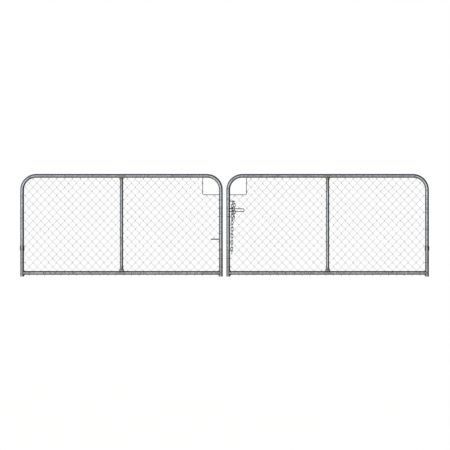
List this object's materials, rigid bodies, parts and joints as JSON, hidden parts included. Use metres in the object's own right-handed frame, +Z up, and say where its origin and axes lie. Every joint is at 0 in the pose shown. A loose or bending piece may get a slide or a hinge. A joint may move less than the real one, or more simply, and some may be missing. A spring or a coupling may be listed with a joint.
{
  "type": "livestock panel gate",
  "caption": "Double farm gate of bent steel tube filled with chain-link mesh, hung on gudgeons and closed by a chain.",
  "frame": {"origin": "on the ground plane of the stile feet, in the middle of the gap where the leaves meet, midway through the depth of the gate and its gudgeons", "axes": "+X to the right along the closed gate seen from the front, +Y to the back, towards the posts, +Z up"},
  "size_m": [4.7092, 0.2471, 1.1827],
  "materials": {
    "galvanised_tube": "hot-dip galvanised, satin, with duller repaired patches at welds",
    "galvanised_rod": "galvanised, satin",
    "galvanised_wire": "galvanised wire, satin",
    "tie_wire": "galvanised soft wire",
    "galvanised_fittings": "hot-dip galvanised, matt",
    "zinc_fasteners": "bright zinc plate",
    "galvanised_chain": "galvanised, slightly dulled"
  },
  "bodies": {
    "gudgeons": {"left_lower_gudgeon": "galvanised_fittings", "left_upper_gudgeon": "galvanised_fittings", "left_thrust_washer": "zinc_fasteners", "right_lower_gudgeon": "galvanised_fittings", "right_upper_gudgeon": "galvanised_fittings", "right_thrust_washer": "zinc_fasteners"},
    "left_leaf": {"left_hoop_tube": "galvanised_tube", "left_bottom_rail": "galvanised_tube", "left_centre_brace": "galvanised_tube", "left_hand_hole_rod": "galvanised_rod", "left_mesh_hinge_bay": "galvanised_wire", "left_mesh_meeting_bay": "galvanised_wire", "left_mesh_under_hand_hole": "galvanised_wire", "left_top_rail_ties": "tie_wire", "left_bottom_rail_ties": "tie_wire", "left_hinge_stile_ties": "tie_wire", "left_meeting_stile_ties": "tie_wire", "left_hand_hole_ties": "tie_wire", "left_lower_hinge_strap": "galvanised_fittings", "left_lower_hinge_eye": "galvanised_fittings", "left_upper_hinge_eye": "galvanised_fittings", "left_hinge_bolts": "zinc_fasteners", "left_hinge_nuts": "zinc_fasteners", "left_chain_peg": "galvanised_rod"},
    "right_leaf": {"right_hoop_tube": "galvanised_tube", "right_bottom_rail": "galvanised_tube", "right_centre_brace": "galvanised_tube", "right_hand_hole_rod": "galvanised_rod", "right_mesh_hinge_bay": "galvanised_wire", "right_mesh_meeting_bay": "galvanised_wire", "right_mesh_under_hand_hole": "galvanised_wire", "right_top_rail_ties": "tie_wire", "right_bottom_rail_ties": "tie_wire", "right_hinge_stile_ties": "tie_wire", "right_meeting_stile_ties": "tie_wire", "right_hand_hole_ties": "tie_wire", "right_lower_hinge_strap": "galvanised_fittings", "right_lower_hinge_eye": "galvanised_fittings", "right_upper_hinge_eye": "galvanised_fittings", "right_hinge_bolts": "zinc_fasteners", "right_hinge_nuts": "zinc_fasteners", "right_chain_keeper": "galvanised_rod", "right_chain_staple": "galvanised_rod"},
    "chain_upper": {"chain_long_strand": "galvanised_chain", "chain_short_strand": "galvanised_chain"},
    "chain_tail": {"chain_tail": "galvanised_chain"}
  },
  "joints": [
    {"name": "left_leaf_hinge", "type": "hinge", "parent": "gudgeons", "child": "left_leaf", "pos_m": [-2.32775, -0.00597, 0.325], "axis": [0, 0, 1], "range_deg": [-110, 45]},
    {"name": "right_leaf_hinge", "type": "hinge", "parent": "gudgeons", "child": "right_leaf", "pos_m": [2.32775, -0.00597, 0.325], "axis": [0, 0, 1], "range_deg": [-45, 110]},
    {"name": "chain_swing", "type": "hinge", "parent": "right_leaf", "child": "chain_upper", "pos_m": [0.0895, -0.08788, 0.865], "axis": [1, 0, 0], "range_deg": [-75, 0]},
    {"name": "chain_tail_swing", "type": "hinge", "parent": "chain_upper", "child": "chain_tail", "pos_m": [0.08661, -0.08788, 0.59762], "axis": [1, 0, 0], "range_deg": [-75, 0]}
  ]
}
